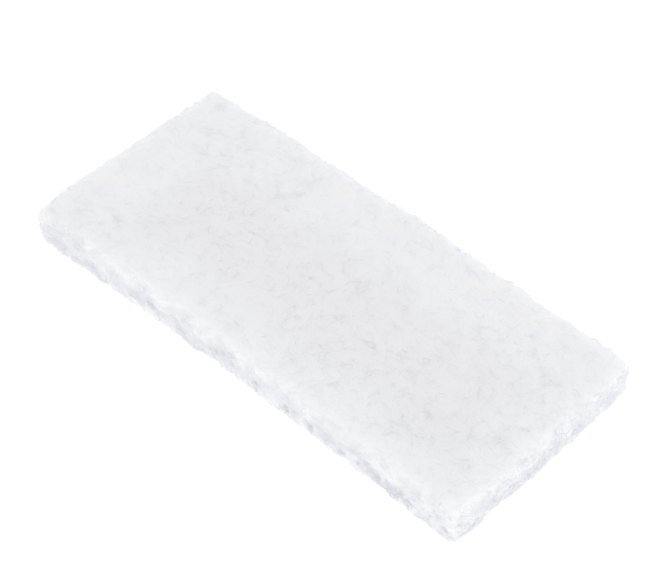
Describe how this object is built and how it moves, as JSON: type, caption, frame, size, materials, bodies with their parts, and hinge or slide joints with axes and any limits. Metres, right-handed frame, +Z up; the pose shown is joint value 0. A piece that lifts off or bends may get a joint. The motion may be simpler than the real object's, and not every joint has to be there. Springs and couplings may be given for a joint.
{
  "type": "nylon scouring pad",
  "caption": "Rectangular scouring pad of springy non-woven nylon web, with soft rims, ragged cut sides and two broad working faces.",
  "frame": {"origin": "middle of the pad's box, on the surface it lies on", "axes": "+X along the pad, +Y across it, +Z up through its thickness"},
  "size_m": [0.2576, 0.1178, 0.0197],
  "materials": {
    "nylon_web": "matt, open white fibre web"
  },
  "bodies": {
    "root": {"pad": "nylon_web"}
  },
  "joints": []
}
